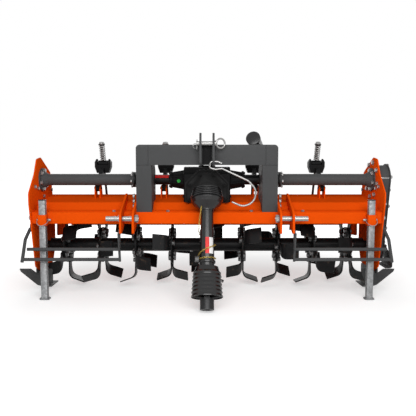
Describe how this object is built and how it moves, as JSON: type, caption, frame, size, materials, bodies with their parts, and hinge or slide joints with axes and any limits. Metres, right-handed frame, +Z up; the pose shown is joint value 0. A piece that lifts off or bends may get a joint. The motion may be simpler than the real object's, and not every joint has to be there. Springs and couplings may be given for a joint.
{
  "type": "tractor-mounted rotary tiller",
  "caption": "Wide tractor-mounted rotary tiller with an arched headstock, tube frame, bladed rotor, raised rear door, parking stands and a guarded drive shaft.",
  "frame": {"origin": "midway between the two lower hitch pins, on their axis", "axes": "+X across the machine towards the drive case, +Y back from the tractor, +Z up"},
  "size_m": [2.2599, 1.1649, 0.9794],
  "materials": {
    "orange_paint": "bright orange gloss coat",
    "grey_paint": "satin dark grey coat",
    "black_paint": "satin black coat",
    "black_casting": "painted casting",
    "black_plastic": "moulded polyethylene",
    "galvanised_steel": "hot-dip galvanised",
    "zinc_plated_steel": "bright zinc plate",
    "oiled_steel": "forged, dark oiled"
  },
  "bodies": {
    "frame": {"front_beam": "orange_paint", "hood": "orange_paint", "left_side_plate": "orange_paint", "right_side_plate": "orange_paint", "left_hitch_plates": "orange_paint", "right_hitch_plates": "orange_paint", "left_stand_sleeve": "orange_paint", "right_stand_sleeve": "orange_paint", "hood_ears": "orange_paint", "hinge_rod": "orange_paint", "headstock": "grey_paint", "top_link_ears": "grey_paint", "left_cross_tube": "grey_paint", "right_cross_tube": "grey_paint", "left_front_guard": "grey_paint", "right_front_guard": "grey_paint", "left_skid": "grey_paint", "right_skid": "grey_paint", "drive_case": "grey_paint", "drive_case_cover": "grey_paint", "drive_case_guard": "grey_paint", "tube_bracket": "grey_paint", "rotor_bearing": "grey_paint", "left_trumpet": "black_paint", "right_trumpet": "black_paint", "gearbox_front_plate": "black_paint", "gearbox_housing": "black_casting", "spring_brackets": "black_casting", "document_tube": "black_plastic", "top_link_pin": "zinc_plated_steel", "left_hitch_pin": "zinc_plated_steel", "right_hitch_pin": "zinc_plated_steel", "shaft_hook": "zinc_plated_steel", "input_fork": "oiled_steel"},
    "rotor": {"rotor_tube": "black_paint", "rotor_flanges": "black_paint", "left_hand_blades": "black_paint", "right_hand_blades": "black_paint"},
    "left_stand": {"left_stand": "galvanised_steel"},
    "right_stand": {"right_stand": "galvanised_steel"},
    "door": {"rear_door": "orange_paint", "door_wings": "orange_paint", "door_clevis_pins": "zinc_plated_steel"},
    "rod_swivels": {"swivel_blocks": "black_casting", "door_springs": "zinc_plated_steel"},
    "spring_rods": {"door_rods": "zinc_plated_steel"},
    "shaft_rear": {"shaft_rear_joint": "oiled_steel", "shaft_rear_guard": "black_plastic"},
    "shaft_front": {"shaft_front_tube": "oiled_steel", "shaft_front_yoke": "oiled_steel", "shaft_front_guard": "black_plastic"}
  },
  "joints": [
    {"name": "rotor_spin", "type": "hinge", "parent": "frame", "child": "rotor", "pos_m": [0, 0.372, -0.209], "axis": [1, 0, 0], "continuous": true},
    {"name": "door_hinge", "type": "hinge", "parent": "frame", "child": "door", "pos_m": [0, 0.554, 0.069], "axis": [1, 0, 0], "range_deg": [0, 40]},
    {"name": "rod_swivel", "type": "hinge", "parent": "frame", "child": "rod_swivels", "pos_m": [0, 0.537, 0.306], "axis": [1, 0, 0], "range_deg": [0, 2.18]},
    {"name": "rod_slide", "type": "slide", "parent": "rod_swivels", "child": "spring_rods", "axis": [0, -0.3928, 0.9196], "range_m": [0, 0.05918]},
    {"name": "left_stand_slide", "type": "slide", "parent": "frame", "child": "left_stand", "axis": [0, 0, 1], "range_m": [0, 0.3]},
    {"name": "right_stand_slide", "type": "slide", "parent": "frame", "child": "right_stand", "axis": [0, 0, 1], "range_m": [0, 0.3]},
    {"name": "shaft_swing", "type": "hinge", "parent": "frame", "child": "shaft_rear", "pos_m": [0, 0.054, 0.14], "axis": [-1, 0, 0], "range_deg": [0, 65]},
    {"name": "shaft_slide", "type": "slide", "parent": "shaft_rear", "child": "shaft_front", "axis": [0, -0.4226, -0.9063], "range_m": [-0.095, 0.08]}
  ],
  "couplings": [
    {"joint": "rod_swivel", "follows": "door_hinge", "ratio": 0.0542},
    {"joint": "rod_slide", "follows": "door_hinge", "m_per_rad": 0.08462}
  ]
}
